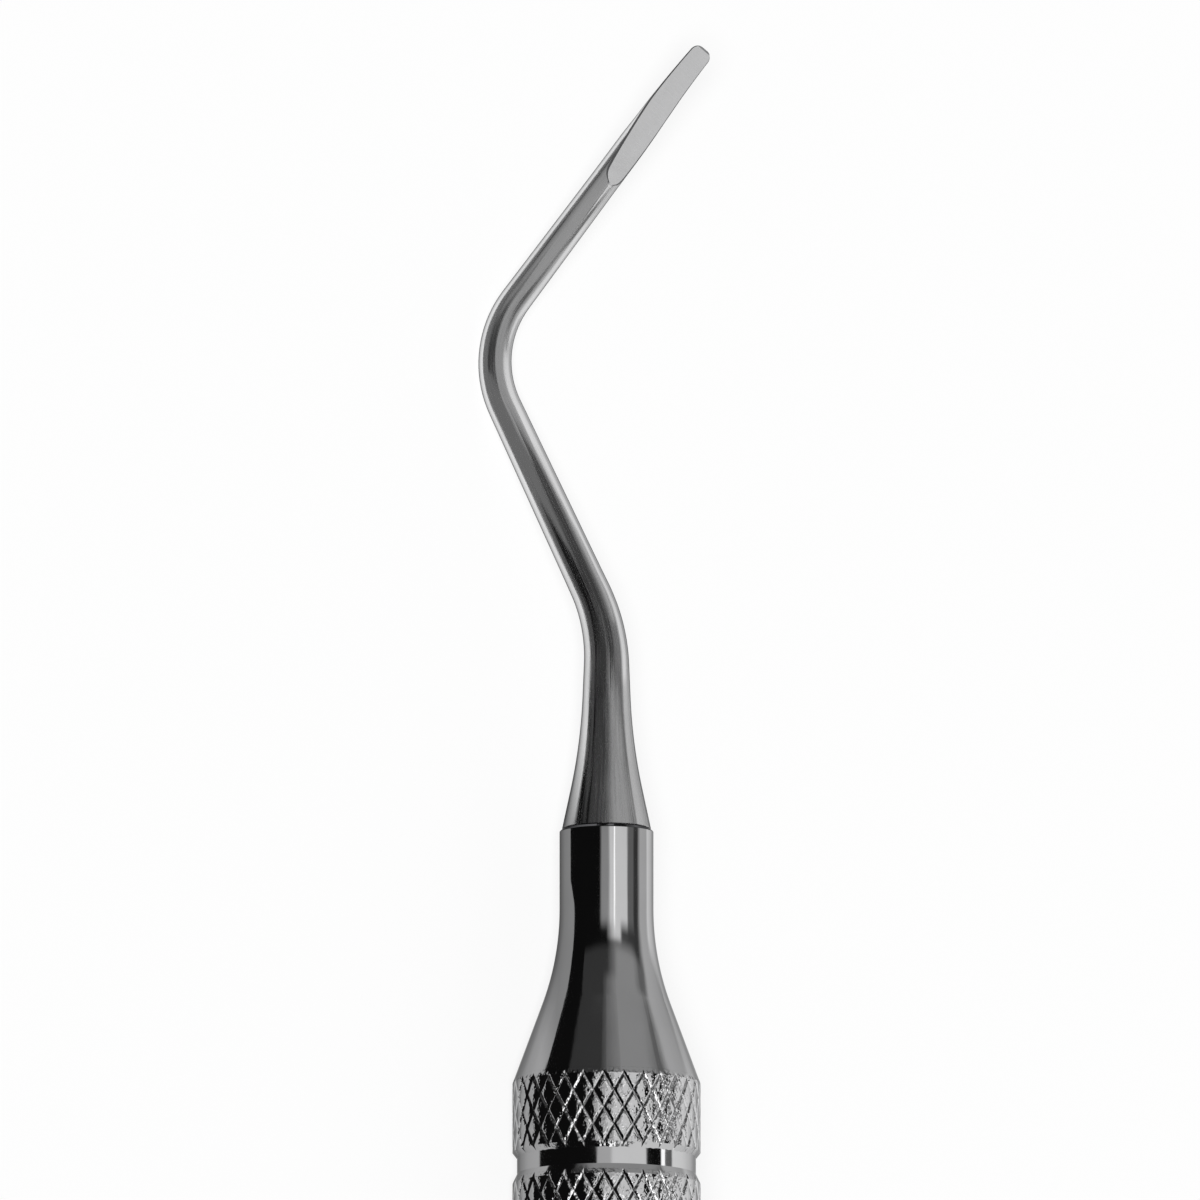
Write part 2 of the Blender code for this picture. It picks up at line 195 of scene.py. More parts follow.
class ElevatorWorkingEnd(bpy.types.PropertyGroup):
    """Sizes and finish of the tang, cone, shank and blade."""

    tang_length: length("Tang length", "Length of the tang in the handle", 10.0)
    tang_diameter: length("Tang diameter", "Across the tang", 3.2)
    tang_chamfer: length("Tang chamfer", "Broken edge at the end of the tang", 0.3)
    cone_base: length("Cone base", "Across the cone where it stands on the nose", 4.5)
    cone_angle: angle("Cone angle", "Slope of the cone's side", 12.0)
    cone_fillet: length("Cone fillet", "Radius of the hollow between cone and neck", 28.0)
    neck_angle: angle("Neck angle", "Slope of the neck's side", 2.4)
    first_bend_height: length("First bend height", "Nose face to the first bend's corner", 10.45)
    first_bend_angle: angle("First bend", "Turn of the first bend", 24.8)
    first_bend_radius: length("First bend radius", "Radius of the first bend", 9.1)
    leg_length: length("Leg", "Corner of the first bend to corner of the second", 15.47)
    second_bend_angle: angle("Second bend", "Turn of the second bend", 61.3)
    second_bend_radius: length("Second bend radius", "Radius of the second bend", 5.4)
    tip_reach: length("Tip reach", "Corner of the second bend to the tip", 19.18)
    first_bend_diameter: length("Diameter at first bend", "Across the end of the first bend", 1.96)
    second_bend_diameter: length("Diameter at second bend", "Across the end of the second bend", 1.6)
    neck_blend: length("Neck blend", "Radius that blends the neck into the leg", 60.0)
    blade_length: length("Blade length", "Start of the ground face to the tip", 8.43)
    blade_diameter: length("Blade diameter", "Across the bar that the blade is ground from", 1.48)
    face_turn: angle("Face turn", "Turn of the face out of the plane of the bends", 58.0)
    face_entry_length: length("Face entry length", "Half length of the face's steep start", 0.45)
    face_entry_depth: length("Face entry depth", "Depth that the steep start reaches", 0.215)
    face_entry_fillet: length("Face entry fillet", "Radius after the steep start", 1.5)
    face_slope_length: length("Face slope length", "Start of the face to where it reaches the axis", 4.9)
    face_slope_fillet: length("Face hollow", "Radius of the hollow ground into the face", 14.0)
    face_tip_height: length("Face height at tip", "Height of the face over the axis at the tip", -0.04)
    edge_break: length("Edge break", "Width of the stoned edge round the face", 0.07)
    back_grind_length: length("Back grind length", "Length over which the back is thinned", 5.9)
    tip_thickness: length("Tip thickness", "Thickness of the tip", 0.24)
    tip_width: length("Tip width", "Width just before the tip's round corners", 1.24)
    tip_taper_length: length("Tip taper length", "Length over which the blade narrows", 3.7)
    tip_corner: length("Tip corner", "Radius of the tip's corners", 0.42)
    tip_curl: length("Tip curl", "Lift of the tip towards the face", 0.20)
    tip_curl_length: length("Tip curl length", "Length over which the tip lifts", 3.0)
    steel: colour("Steel", "Colour of the satin steel", (0.80, 0.80, 0.805))
    roughness: share("Roughness", "Roughness of the satin steel", 0.17)
    face_steel: colour("Face steel", "Colour of the ground face", (0.61, 0.61, 0.615))
    face_roughness: share("Face roughness", "Roughness of the ground face", 0.3)
    # Painted shade: the stoned edge round the face is coloured dark for the dark outline that the edge's
    # reflection gives
    edge_painted_shade: colour("Edge steel", "Colour of the stoned edge round the face", (0.25, 0.25, 0.255))


class ElevatorPlug(bpy.types.PropertyGroup):
    """Sizes and finish of the end plug."""

    head_length: length("Head length", "Length of the domed head", 3.0)
    head_rounding: length("Head rounding", "Radius round the head's end", 1.6)
    spigot_length: length("Spigot length", "Length of the spigot in the bore", 6.0)
    chamfer: length("Chamfer", "Broken edge of the spigot", 0.4)
    steel: colour("Steel", "Colour of the polished steel", (0.60, 0.60, 0.605))
    roughness: share("Roughness", "Roughness of the polished steel", 0.09)


class ElevatorStudio(bpy.types.PropertyGroup):
    """Floor, light and camera."""

    floor_colour: colour("Floor", "Colour of the floor", (0.94, 0.94, 0.94))
    floor_size: length("Floor size", "Side of the floor", 8000.0)
    floor_glow: share("Floor glow", "Share of plain white in the floor as seen and mirrored", 0.75)
    room_light: FloatProperty(name="Room light", description="Strength of the even light", default=0.40)
    key_light: FloatProperty(name="Key light", description="Strength of the soft key", default=2.7)
    key_spread: angle("Key spread", "Width of the soft key as the object sees it", 14.0)
    tent_radius: length("Tent radius", "Handle's axis to the reflector cards", 50)
    arc_radius: length("Arc radius", "Radius of the small reflector arcs at the working end", 12)
    tilt: angle("Tilt", "Camera's tilt towards the butt", 8.1)
    lens: FloatProperty(name="Lens", description="Focal length in millimetres", default=1650.0)
    view_width: length("View width", "Width of the view at the handle", 60.64)
    view_left: length("View offset", "View's centre to the left of the handle's axis", 0.33)
    view_ahead: length("View lead", "View's centre ahead of the nose face", 11.6)


def rounded(corners, steps=FILLET_STEPS):
    """Points of an outline through (x, y, fillet radius) corners, each fillet as a run of short edges."""
    points = []
    for index, (x, y, radius) in enumerate(corners):
        corner = Vector((x, y))
        if not radius:
            points.append((x, y))
            continue
        back = (Vector(corners[index - 1][:2]) - corner).normalized()
        ahead = (Vector(corners[index + 1][:2]) - corner).normalized()
        half = back.angle(ahead) / 2
        centre = corner + (back + ahead).normalized() * radius / math.sin(half)
        spoke = corner + back * radius / math.tan(half) - centre
        turn = math.copysign(math.pi - 2 * half, ahead.cross(back))
        points += [tuple(centre + Matrix.Rotation(turn * n / steps, 2) @ spoke) for n in range(steps + 1)]
    return points


def value_at(profile, place):
    """Height of an (x, y) profile at a place along x."""
    index = min(max(bisect_left(profile, (place,)), 1), len(profile) - 1)
    (x0, y0), (x1, y1) = profile[index - 1], profile[index]
    return y0 + (y1 - y0) * (place - x0) / (x1 - x0)


def evenly(start, end, step):
    """Places from start to end, both included, at most a step apart."""
    count = max(1, math.ceil((end - start) / step))
    return [start + (end - start) * n / count for n in range(count + 1)]


def placed(name, data):
    """New object with some data, in the scene."""
    made = bpy.data.objects.new(name, data)
    bpy.context.scene.collection.objects.link(made)
    return made


class Skin:
    """Closed skin that grows ring by ring, with a straightened copy of each point for the steel's grain."""

    def __init__(self, points, straight):
        self.vertices = list(points)
        self.straight = list(straight)
        self.knurl = [0.0] * len(self.vertices)
        self.faces = []
        self.finishes = []
        self.last = list(range(len(self.vertices)))
        self.first = self.last

    def join(self, ring, finishes):
        """Plain cells between the last ring and another."""
        for side, (a, d) in enumerate(zip(self.last, ring)):
            beside = (side + 1) % len(ring)
            self.faces.append((a, self.last[beside], ring[beside], d))
            self.finishes.append(finishes[side] if finishes else 0)

    def cap(self):
        """Close the ring that was added last."""
        self.faces.append(tuple(self.last))
        self.finishes.append(0)

    def add(self, points, straight, knurl=None, middles=None, finishes=None):
        """Join a new ring to the last one, by plain cells or by cells in four round a middle point."""
        size = len(self.last)
        start = len(self.vertices)
        self.vertices += points
        self.straight += straight
        self.knurl += knurl or [0.0] * size
        ring = list(range(start, start + size))
        if middles:
            self.vertices += middles[0]
            self.straight += middles[1]
            self.knurl += middles[2]
            for side, (a, d) in enumerate(zip(self.last, ring)):
                beside = (side + 1) % size
                b, c = self.last[beside], ring[beside]
                middle = start + size + side
                self.faces += [(a, b, middle), (b, c, middle), (c, d, middle), (d, a, middle)]
            self.finishes += [0] * 4 * size
        else:
            self.join(ring, finishes)
        self.last = ring

    def piece(self, name, sharp, steels):
        """Object of the finished skin, shaded smooth up to edges sharper than an angle."""
        mesh = bpy.data.meshes.new(name)
        mesh.from_pydata(self.vertices, [], self.faces)
        for steel in steels:
            mesh.materials.append(steel)
        mesh.polygons.foreach_set("material_index", self.finishes)
        grain = mesh.attributes.new("straight", "FLOAT_VECTOR", "POINT")
        grain.data.foreach_set("vector", [value for point in self.straight for value in point])
        knurl = mesh.attributes.new("knurl", "FLOAT", "POINT")
        knurl.data.foreach_set("value", self.knurl)
        mesh.validate()
        mesh.shade_smooth()
        mesh.set_sharp_from_angle(angle=sharp)
        piece = placed(name, mesh)
        weighted = piece.modifiers.new("Even shading", "WEIGHTED_NORMAL")
        weighted.keep_sharp = True
        return piece


def turned_point(turn, place, radius):
    """Point of a turned surface, by its share of a turn from the top towards +X, place and radius."""
    around = 2 * math.pi * turn
    return Vector((radius * math.sin(around), NOSE_Y - place, AXIS_HEIGHT + radius * math.cos(around)))


def turned_ring(turns, place, radius):
    """Ring of a turned surface, with its straightened points."""
    points = [turned_point(turn, place, radius) for turn in turns]
    return points, [point - Vector((0, 0, AXIS_HEIGHT)) for point in points]


def handle_outside(sizes):
    """(place, radius) of the handle's outside without the knurl, from the nose face to the butt."""
    nose = sizes.nose_diameter / 2
    chamfer = sizes.nose_chamfer
    floor = GRIP_RADIUS - sizes.groove_depth
    flare_corner = sizes.nose_length + sizes.flare_fillet * math.tan(sizes.flare_angle / 2)
    flare_end = flare_corner + (GRIP_RADIUS - nose) / math.tan(sizes.flare_angle)
    corners = [
        (0, nose - chamfer, 0),
        (chamfer, nose, sizes.nose_break),
        (flare_corner, nose, sizes.flare_fillet),
        (flare_end, GRIP_RADIUS, 0),
    ]
    outline = rounded(corners)
    start = flare_end
    for _band in range(sizes.band_count):
        end = start + sizes.band_length
        start = end + sizes.groove_width
        outline.append((end, GRIP_RADIUS))
        outline.append((end + sizes.front_chamfer, floor))
        outline.append((start - sizes.rear_chamfer, floor))
        outline.append((start, GRIP_RADIUS))
    outline.append((HANDLE_LENGTH, GRIP_RADIUS))
    return outline, flare_end


def lattice_phase(sizes, step):
    """Phase of a lattice step in pitches: a groove's bottom, wall and shoulder, and a diamond's middle."""
    whole, part = divmod(step, KNURL_STEPS)
    places = [0, sizes.knurl_wall, sizes.knurl_groove, 0.5, 1 - sizes.knurl_groove, 1 - sizes.knurl_wall]
    return whole + places[part]


def knurl_drop(sizes, across, along):
    """Depth of the knurl below the grip's surface at a phase: V grooves along both diagonals."""
    distance = min(abs(phase - round(phase)) for phase in (across + along, across - along))
    wall = (sizes.knurl_wall, sizes.knurl_shoulder)
    return value_at([(0, sizes.knurl_depth), wall, (sizes.knurl_groove, 0), (1, 0)], distance)


def band_phases(sizes, lead, tail):
    """Rows of (across, along) phases for a band's lattice, with straight rows ahead of it and behind it."""
    columns = range(sizes.diamonds * KNURL_STEPS)
    straight = [lattice_phase(sizes, column) for column in columns]
    rows = [[(across, along) for across in straight] for along in lead]
    for step in range(sizes.band_pitches * KNURL_STEPS + 1):
        diagonals = [(lattice_phase(sizes, n + step), lattice_phase(sizes, n - step)) for n in columns]
        rows.append([((down + up) / 2, (down - up) / 2) for down, up in diagonals])
    rows += [[(across, along) for across in straight] for along in tail]
    return rows


def middle_phases(sizes, row):
    """Phases of the middle points behind a row, each where the diagonals of its cell cross."""
    wrapped = row[1:] + [(row[0][0] + sizes.diamonds, row[0][1])]
    pairs = [(right[0] + right[1], left[0] - left[1]) for left, right in zip(row, wrapped)]
    return [((down + up) / 2, (down - up) / 2) for down, up in pairs]


def knurled_row(sizes, outline, flare_end, start, phases):
    """Points, straightened points and knurl values of a row of phases behind the start of a band."""
    pitch = sizes.band_length / sizes.band_pitches
    points = []
    knurl = []
    for across, along in phases:
        place = start + along * pitch
        surface = value_at(outline, place)
        drop = knurl_drop(sizes, across, along)
        radius = min(surface, GRIP_RADIUS - drop)
        # The knurl value also sets the painted highlight in the grooves' colour
        groove_highlight_mask = KNURL_TOP if -FIT_GAP <= along * pitch <= sizes.band_length + FIT_GAP else 0
        ahead = flare_end - place
        if ahead > FIT_GAP:
            drop = max(0, 1 - ahead / sizes.run_out) * knurl_drop(sizes, across + 0.5, along)
            radius = surface - drop
        if groove_highlight_mask or ahead > FIT_GAP:
            groove_highlight_mask += (1 - KNURL_TOP) * drop / sizes.knurl_depth
        points.append(turned_point((across + sizes.knurl_turn) / sizes.diamonds, place, radius))
        knurl.append(groove_highlight_mask)
    return points, [point - Vector((0, 0, AXIS_HEIGHT)) for point in points], knurl


def add_bands(skin, sizes, outline, flare_end):
    """Grow the knurled bands and the ring grooves behind them, and give the place where these end."""
    pitch = sizes.band_length / sizes.band_pitches
    rear = sizes.rear_chamfer / pitch
    on_flare = [-sizes.run_out / pitch, -sizes.knurl_groove, -sizes.knurl_wall]
    tail = [sizes.band_pitches + sizes.front_chamfer / pitch]
    start = flare_end
    for band in range(sizes.band_count):
        rows = band_phases(sizes, [-rear, -rear / 2] if band else on_flare, tail)
        skin.add(*knurled_row(sizes, outline, flare_end, start, rows[0]))
        for row, following in zip(rows, rows[1:]):
            middles = knurled_row(sizes, outline, flare_end, start, middle_phases(sizes, row))
            skin.add(*knurled_row(sizes, outline, flare_end, start, following), middles=middles)
        start += sizes.band_length + sizes.groove_width
    return start


def handle_skin(sizes):
    """Handle as one closed skin: out along the knurled outside, back through the bore and the socket."""
    outline, flare_end = handle_outside(sizes)
    columns = range(sizes.diamonds * KNURL_STEPS)
    turns = [(lattice_phase(sizes, column) + sizes.knurl_turn) / sizes.diamonds for column in columns]
    socket = sizes.socket_diameter / 2
    bore = GRIP_RADIUS - sizes.wall
    skin = Skin(*turned_ring(turns, 0, socket))
    for place, radius in outline:
        if place < flare_end - RUN_OUT_CLEAR * sizes.run_out:
            # Rings on the nose's chamfered edge get the near-black steel of the painted seam shade
            in_painted_seam_shade = place < sizes.nose_chamfer + sizes.nose_break
            skin.add(*turned_ring(turns, place, radius), finishes=[int(in_painted_seam_shade)] * len(turns))
    body_start = add_bands(skin, sizes, outline, flare_end)
    rings = [(body_start - sizes.rear_chamfer, GRIP_RADIUS - sizes.groove_depth)]
    rings += [(place, GRIP_RADIUS) for place in evenly(body_start, HANDLE_LENGTH - FIT_GAP, BODY_STEP)]
    rings += [
        (HANDLE_LENGTH, GRIP_RADIUS - FIT_GAP),
        (HANDLE_LENGTH, bore),
        (sizes.socket_length + (bore - socket) / math.tan(sizes.drill_angle), bore),
        (sizes.socket_length, socket),
    ]
    for place, radius in rings:
        skin.add(*turned_ring(turns, place, radius))
    skin.join(skin.first, None)
    return skin


def plug_skin(sizes, handle):
    """End plug as one closed skin, from the end of its spigot to the middle of its domed head."""
    bore = GRIP_RADIUS - handle.wall - FIT_GAP
    seat = HANDLE_LENGTH + FIT_GAP
    spigot = seat - sizes.spigot_length
    end = seat + sizes.head_length
    corners = [
        (spigot, bore - sizes.chamfer, 0),
        (spigot + sizes.chamfer, bore, 0),
        (seat, bore, 0),
        (seat, GRIP_RADIUS - FIT_GAP, 0),
        (seat + FIT_GAP, GRIP_RADIUS, 0),
        (end, GRIP_RADIUS, sizes.head_rounding),
        (end, FIT_GAP, 0),
    ]
    turns = [n / PLUG_SIDES for n in range(PLUG_SIDES)]
    outline = rounded(corners)
    skin = Skin(*turned_ring(turns, *outline[0]))
    skin.cap()
    for place, radius in outline[1:]:
        skin.add(*turned_ring(turns, place, radius))
    skin.cap()
    return skin


def shank_runs(sizes):
    """The axis of the working end above the nose face, as (length, turn to the right) runs."""
    first_tangent = sizes.first_bend_radius * math.tan(sizes.first_bend_angle / 2)
    second_tangent = sizes.second_bend_radius * math.tan(sizes.second_bend_angle / 2)
    return [
        (sizes.first_bend_height - first_tangent, 0),
        (sizes.first_bend_radius * sizes.first_bend_angle, -sizes.first_bend_angle),
        (sizes.leg_length - first_tangent - second_tangent, 0),
        (sizes.second_bend_radius * sizes.second_bend_angle, sizes.second_bend_angle),
        (sizes.tip_reach - second_tangent, 0),
    ]


def axis_at(sizes, distance):
    """Centre (right, up) and heading of the axis at a distance along it from the nose face."""
    centre = Vector((0, min(distance, 0)))
    heading = 0
    for run, turn in shank_runs(sizes):
        part = min(max(distance, 0), run) / run
        middle = heading + turn * part / 2
        chord = run * part
        if turn and part:
            chord *= math.sin(turn * part / 2) / (turn * part / 2)
        centre = centre + Vector((math.sin(middle), math.cos(middle))) * chord
        heading += turn * part
        distance -= run * part
    return centre, heading


def shank_places(sizes):
    """Distances along the axis at which the straight runs and the bends start and end."""
    places = [0]
    for run, _turn in shank_runs(sizes):
        places.append(places[-1] + run)
    return places


def shank_profile(sizes):
    """(distance, radius) of the round bar from the cone's base to the tip, before the blade is ground."""
    _foot, _first_start, first_end, _second_start, second_end, tip = shank_places(sizes)
    base = sizes.cone_base / 2
    neck = sizes.first_bend_diameter / 2
    cone_slope = math.tan(sizes.cone_angle)
    neck_slope = math.tan(sizes.neck_angle)
    cone_end = (base - neck - neck_slope * first_end) / (cone_slope - neck_slope)
    corners = [
        (FIT_GAP, base, 0),
        (cone_end, base - cone_slope * cone_end, sizes.cone_fillet),
        (first_end, neck, sizes.neck_blend),
        (second_end, sizes.second_bend_diameter / 2, 0),
        (tip - sizes.blade_length, sizes.blade_diameter / 2, 0),
        (tip, sizes.blade_diameter / 2, 0),
    ]
    return rounded(corners)


def rest_roll(sizes):
    """Roll about the handle's axis that lays the outside of the second bend on the floor."""
    profile = shank_profile(sizes)
    _foot, _first_start, _first_end, second_start, second_end, _tip = shank_places(sizes)
    places = [second_start + (second_end - second_start) * n / ROLL_STEPS for n in range(ROLL_STEPS + 1)]
    reach, radius = min((axis_at(sizes, place)[0].x, value_at(profile, place)) for place in places)
    return math.asin(min(1, (AXIS_HEIGHT - radius) / -reach))


def face_profile(sizes):
    """(place, height over the axis) of the blade's ground face, from its start to the tip."""
    radius = sizes.blade_diameter / 2
    corners = [
        (-sizes.face_entry_length, radius + sizes.face_entry_depth, 0),
        (sizes.face_entry_length, radius - sizes.face_entry_depth, sizes.face_entry_fillet),
        (sizes.face_slope_length, 0, sizes.face_slope_fillet),
        (sizes.blade_length + MM, sizes.face_tip_height, 0),
    ]
    return rounded(corners)


def blade_section(sizes, place):
    """Half width and depth of the back at a place on the blade, before the face is ground."""
    radius = sizes.blade_diameter / 2
    taper_start = sizes.blade_length - sizes.tip_taper_length
    taper = max(0, place - taper_start) / sizes.tip_taper_length
    half_width = radius + (sizes.tip_width / 2 - radius) * taper
    into_corner = max(0, place - (sizes.blade_length - sizes.tip_corner))
    half_width -= sizes.tip_corner - math.sqrt(max(0, sizes.tip_corner**2 - into_corner**2))
    ground = max(0, place - (sizes.blade_length - sizes.back_grind_length)) / sizes.back_grind_length
    tip_back = sizes.tip_thickness - sizes.face_tip_height
    return half_width, radius + (tip_back - radius) * (1 - (1 - ground) ** 2)


def section_outline(radius, half_width, back, face, edge):
    """(sideways, towards the face) points of a section: the flat across the face, then round the back."""
    depth = radius if face > 0 else back
    reach = max(math.acos(max(-1, min(1, face / depth))), NARROWEST_FACE)

    def on_bar(around):
        height = (radius if math.cos(around) > 0 else back) * math.cos(around)
        return Vector((half_width * math.sin(around), min(height, face)))

    corner = on_bar(reach)
    points = [Vector((-corner.x + 2 * corner.x * n / FACE_SIDES, 0)) for n in range(FACE_SIDES + 1)]
    flat = []
    for point in points:
        bar = radius * math.sqrt(max(0, 1 - (point.x / half_width) ** 2)) if face > 0 else face
        flat.append(Vector((point.x, min(bar, face))))
    for end, inner in ((0, 1), (-1, -2)):
        strip = (flat[inner] - flat[end]).length
        flat[end] = flat[end].lerp(flat[inner], min(EDGE_LIMIT, edge / max(strip, edge)))
    step = edge / max(half_width, edge)
    sweep = 2 * math.pi - 2 * reach - 2 * step
    return flat + [on_bar(reach + step + sweep * n / BACK_SIDES) for n in range(BACK_SIDES + 1)]


def working_end_rings(sizes):
    """(distance, radius, half width, back, face height, edge break) of every ring, tang first."""
    places = shank_places(sizes)
    profile = shank_profile(sizes)
    face = face_profile(sizes)
    tip = places[-1]
    blade_start = tip - sizes.blade_length
    radius = sizes.blade_diameter / 2
    tang = sizes.tang_diameter / 2
    bars = [
        (-sizes.tang_length, tang - sizes.tang_chamfer),
        (-sizes.tang_length + sizes.tang_chamfer, tang),
        (FIT_GAP, tang),
        (FIT_GAP, sizes.cone_base / 2 - FIT_GAP),
        (2 * FIT_GAP, sizes.cone_base / 2 - FIT_GAP * math.tan(sizes.cone_angle)),
    ]
    face_start = blade_start - sizes.face_entry_length
    shank = [place for place in evenly(0, face_start, SHANK_STEP) if place > 3 * FIT_GAP]
    bars += [(place, value_at(profile, place)) for place in shank]
    rings = [(place, bar, bar, bar, bar, 0) for place, bar in bars]
    corner_start = sizes.blade_length - sizes.tip_corner
    blade = evenly(-sizes.face_entry_length, corner_start, BLADE_STEP)[1:]
    turns = [math.pi / 2 * n / TIP_STEPS for n in range(1, TIP_STEPS + 1)]
    blade += [corner_start + sizes.tip_corner * math.sin(turn) for turn in turns]
    for place in blade:
        half_width, back = blade_section(sizes, place)
        bar = value_at(profile, blade_start + place) if place < 0 else radius
        if place < 0:
            half_width = back = bar
        height = value_at(face, place)
        edge = sizes.edge_break if height < bar else 0
        rings.append((blade_start + place, bar, half_width, back, height, edge))
    return rings


def working_end_skin(sizes):
    """Working end as one closed skin from the tang to the tip, rolled and laid down as it rests."""
    roll = Matrix.Rotation(-rest_roll(sizes), 3, "Z")
    blade_start = shank_places(sizes)[-1] - sizes.blade_length
    # The stoned edge on both sides of the face gets the dark steel of the painted shade
    on_face = [GROUND] * FACE_SIDES + [STONED_PAINTED_SHADE] + [SATIN] * BACK_SIDES + [STONED_PAINTED_SHADE]
    skin = None
    for distance, radius, half_width, back, face, edge in working_end_rings(sizes):
        centre, heading = axis_at(sizes, distance)
        across = Vector((math.cos(heading), 0, -math.sin(heading)))
        outward = Vector((0, -1, 0))
        towards_face = across * math.cos(sizes.face_turn) + outward * math.sin(sizes.face_turn)
        sideways = outward * math.cos(sizes.face_turn) - across * math.sin(sizes.face_turn)
        past = max(0, distance - blade_start - (sizes.blade_length - sizes.tip_curl_length))
        lift = sizes.tip_curl * (past / sizes.tip_curl_length) ** 2
        middle = Vector((centre.x, 0, centre.y)) + towards_face * lift
        points = []
        straight = []
        for side, height in section_outline(radius, half_width, back, face, edge):
            x, y, z = roll @ (middle + sideways * side + towards_face * height)
            points.append(Vector((x, NOSE_Y + z, AXIS_HEIGHT - y)))
            straight.append(Vector((side / radius * MM, distance, height / radius * MM)))
        if skin is None:
            skin = Skin(points, straight)
            skin.cap()
        else:
            finishes = on_face if face < radius else None
            # The tip's end gets the dark steel of the painted shade all round
            if past > sizes.tip_curl_length - sizes.edge_break:
                finishes = [STONED_PAINTED_SHADE] * len(points)
            skin.add(points, straight, finishes=finishes)
    skin.cap()
    return skin


def add_node(tree, kind, inputs, **settings):
    """New shader node with values or links for its inputs, and its own settings."""
    made = tree.nodes.new("ShaderNode" + kind)
    for key, value in settings.items():
        setattr(made, key, value)
    for key, value in inputs.items():
        if isinstance(value, bpy.types.NodeSocket):
            tree.links.new(value, made.inputs[key])
        else:
            made.inputs[key].default_value = value
    return made


class SteelNodes:
    """Small helper that wires a steel's nodes to its Principled shader."""

    def __init__(self, name, base, roughness, edge):
        self.base = base
        self.roughness = roughness
        self.material = bpy.data.materials.new(name)
        self.material.use_nodes = True
        self.tree = self.material.node_tree
        self.shader = self.tree.nodes["Principled BSDF"]
        self.shader.inputs["Base Color"].default_value = (*base, 1)
        self.shader.inputs["Metallic"].default_value = 1
        self.shader.inputs["Roughness"].default_value = roughness
        self.shader.inputs["Specular Tint"].default_value = (edge, edge, edge, 1)

    def node(self, kind, inputs, **settings):
        """New node in this steel."""
        return add_node(self.tree, kind, inputs, **settings)

    def straight(self):
        """The straightened coordinate, in metres."""
        return self.node("Attribute", {}, attribute_name="straight").outputs["Vector"]

    def noise(self, across, along, detail=3.0):
        """Noise over the straightened coordinate, by its waves in a millimetre across and along."""
        scale = [waves / MM for waves in (across, along, across)]
        mapping = self.node("Mapping", {"Vector": self.straight(), "Scale": scale})
        inputs = {"Vector": mapping.outputs["Vector"], "Scale": 1.0, "Detail": detail}
        return self.node("TexNoise", inputs).outputs["Fac"]

    def spread(self, value, low, high, start=0.3, end=0.7):
        """A value that goes from low to high as another goes from start to end."""
        ends = {"From Min": start, "From Max": end, "To Min": low, "To Max": high}
        return self.node("MapRange", {"Value": value, **ends}).outputs["Result"]

    def link(self, output, name):
        """Wire an output to one of the shader's inputs."""
        self.tree.links.new(output, self.shader.inputs[name])

    def bump(self, height, depth, before=None):
        """Bump of a depth in metres, on top of another."""
        inputs = {"Height": height, "Strength": 1.0, "Distance": depth}
        if before is not None:
            inputs["Normal"] = before
        return self.node("Bump", inputs).outputs["Normal"]

    def tint(self, value, dark, light):
        """Colour between two, by a value from 0 to 1."""
        ends = [end if isinstance(end, bpy.types.NodeSocket) else (*end, 1) for end in (dark, light)]
        # A Mix node takes its two colours at sockets 6 and 7, and gives the mixed one at socket 2
        made = self.node("Mix", {0: value, 6: ends[0], 7: ends[1]}, data_type="RGBA")
        return made.outputs[2]

    def clouded(self, cloud, dull):
        """The steel's own colour, with a share of it where a cloud is thin."""
        return self.tint(self.spread(cloud, 0.0, 1.0), [value * dull for value in self.base], self.base)

    def rough(self, pattern, shares, **ends):
        """Let the roughness vary with a pattern, between two shares of the steel's own."""
        low, high = (self.roughness * part for part in shares)
        self.link(self.spread(pattern, low, high, **ends), "Roughness")


def polished_steel(name, base, roughness):
    """Turned and polished steel: faint lathe rings, wavy polish, and a rough knurl with a painted highlight
    in its grooves.
    """
    steel = SteelNodes(name, base, roughness, POLISHED_EDGE)
    knurl = steel.node("Attribute", {}, attribute_name="knurl").outputs["Fac"]
    cloud = steel.noise(across=0.35, along=0.35)
    steel.rough(cloud, POLISHED_ROUGHNESS)
    rings = steel.noise(across=0.01, along=26.0, detail=2.0)
    waves = steel.noise(across=0.9, along=0.25, detail=1.0)
    streaks = steel.noise(across=5.0, along=0.2, detail=2.0)
    burr = steel.noise(across=3.6, along=3.2, detail=2.0)
    normal = steel.bump(rings, LATHE_RINGS)
    normal = steel.bump(waves, POLISH_WAVES, before=normal)
    normal = steel.bump(streaks, POLISH_STREAKS, before=normal)
    burr_depth = steel.spread(knurl, 0.0, KNURL_BURR, start=0.0, end=KNURL_TOP)
    normal = steel.bump(burr, burr_depth, before=normal)
    steel.link(normal, "Normal")
    shade = steel.clouded(cloud, POLISHED_DULL)
    # Painted highlight: the knurl's grooves get a brighter steel colour for the bright lines that their
    # walls reflect
    groove_highlight_mask = steel.spread(knurl, 0.0, 1.0, start=KNURL_TOP, end=KNURL_FULL_HIGHLIGHT)
    steel.link(steel.tint(groove_highlight_mask, shade, [min(1, value * KNURL_PAINTED_HIGHLIGHT) for value in base]), "Base Color")
    return steel.material


def satin_steel(name, base, roughness):
    """Fine-ground steel: lines along the shank, half of them bright and half of them dull."""
    steel = SteelNodes(name, base, roughness, SATIN_EDGE)
    grain = steel.noise(across=22.0, along=0.3, detail=2.0)
    scratches = steel.noise(across=7.0, along=0.25, detail=3.0)
    cloud = steel.noise(across=0.8, along=0.3)
    steel.rough(grain, SATIN_ROUGHNESS, start=0.42, end=0.58)
    steel.link(steel.bump(scratches, SATIN_LINES), "Normal")
    steel.link(steel.clouded(cloud, SATIN_DULL), "Base Color")
    return steel.material


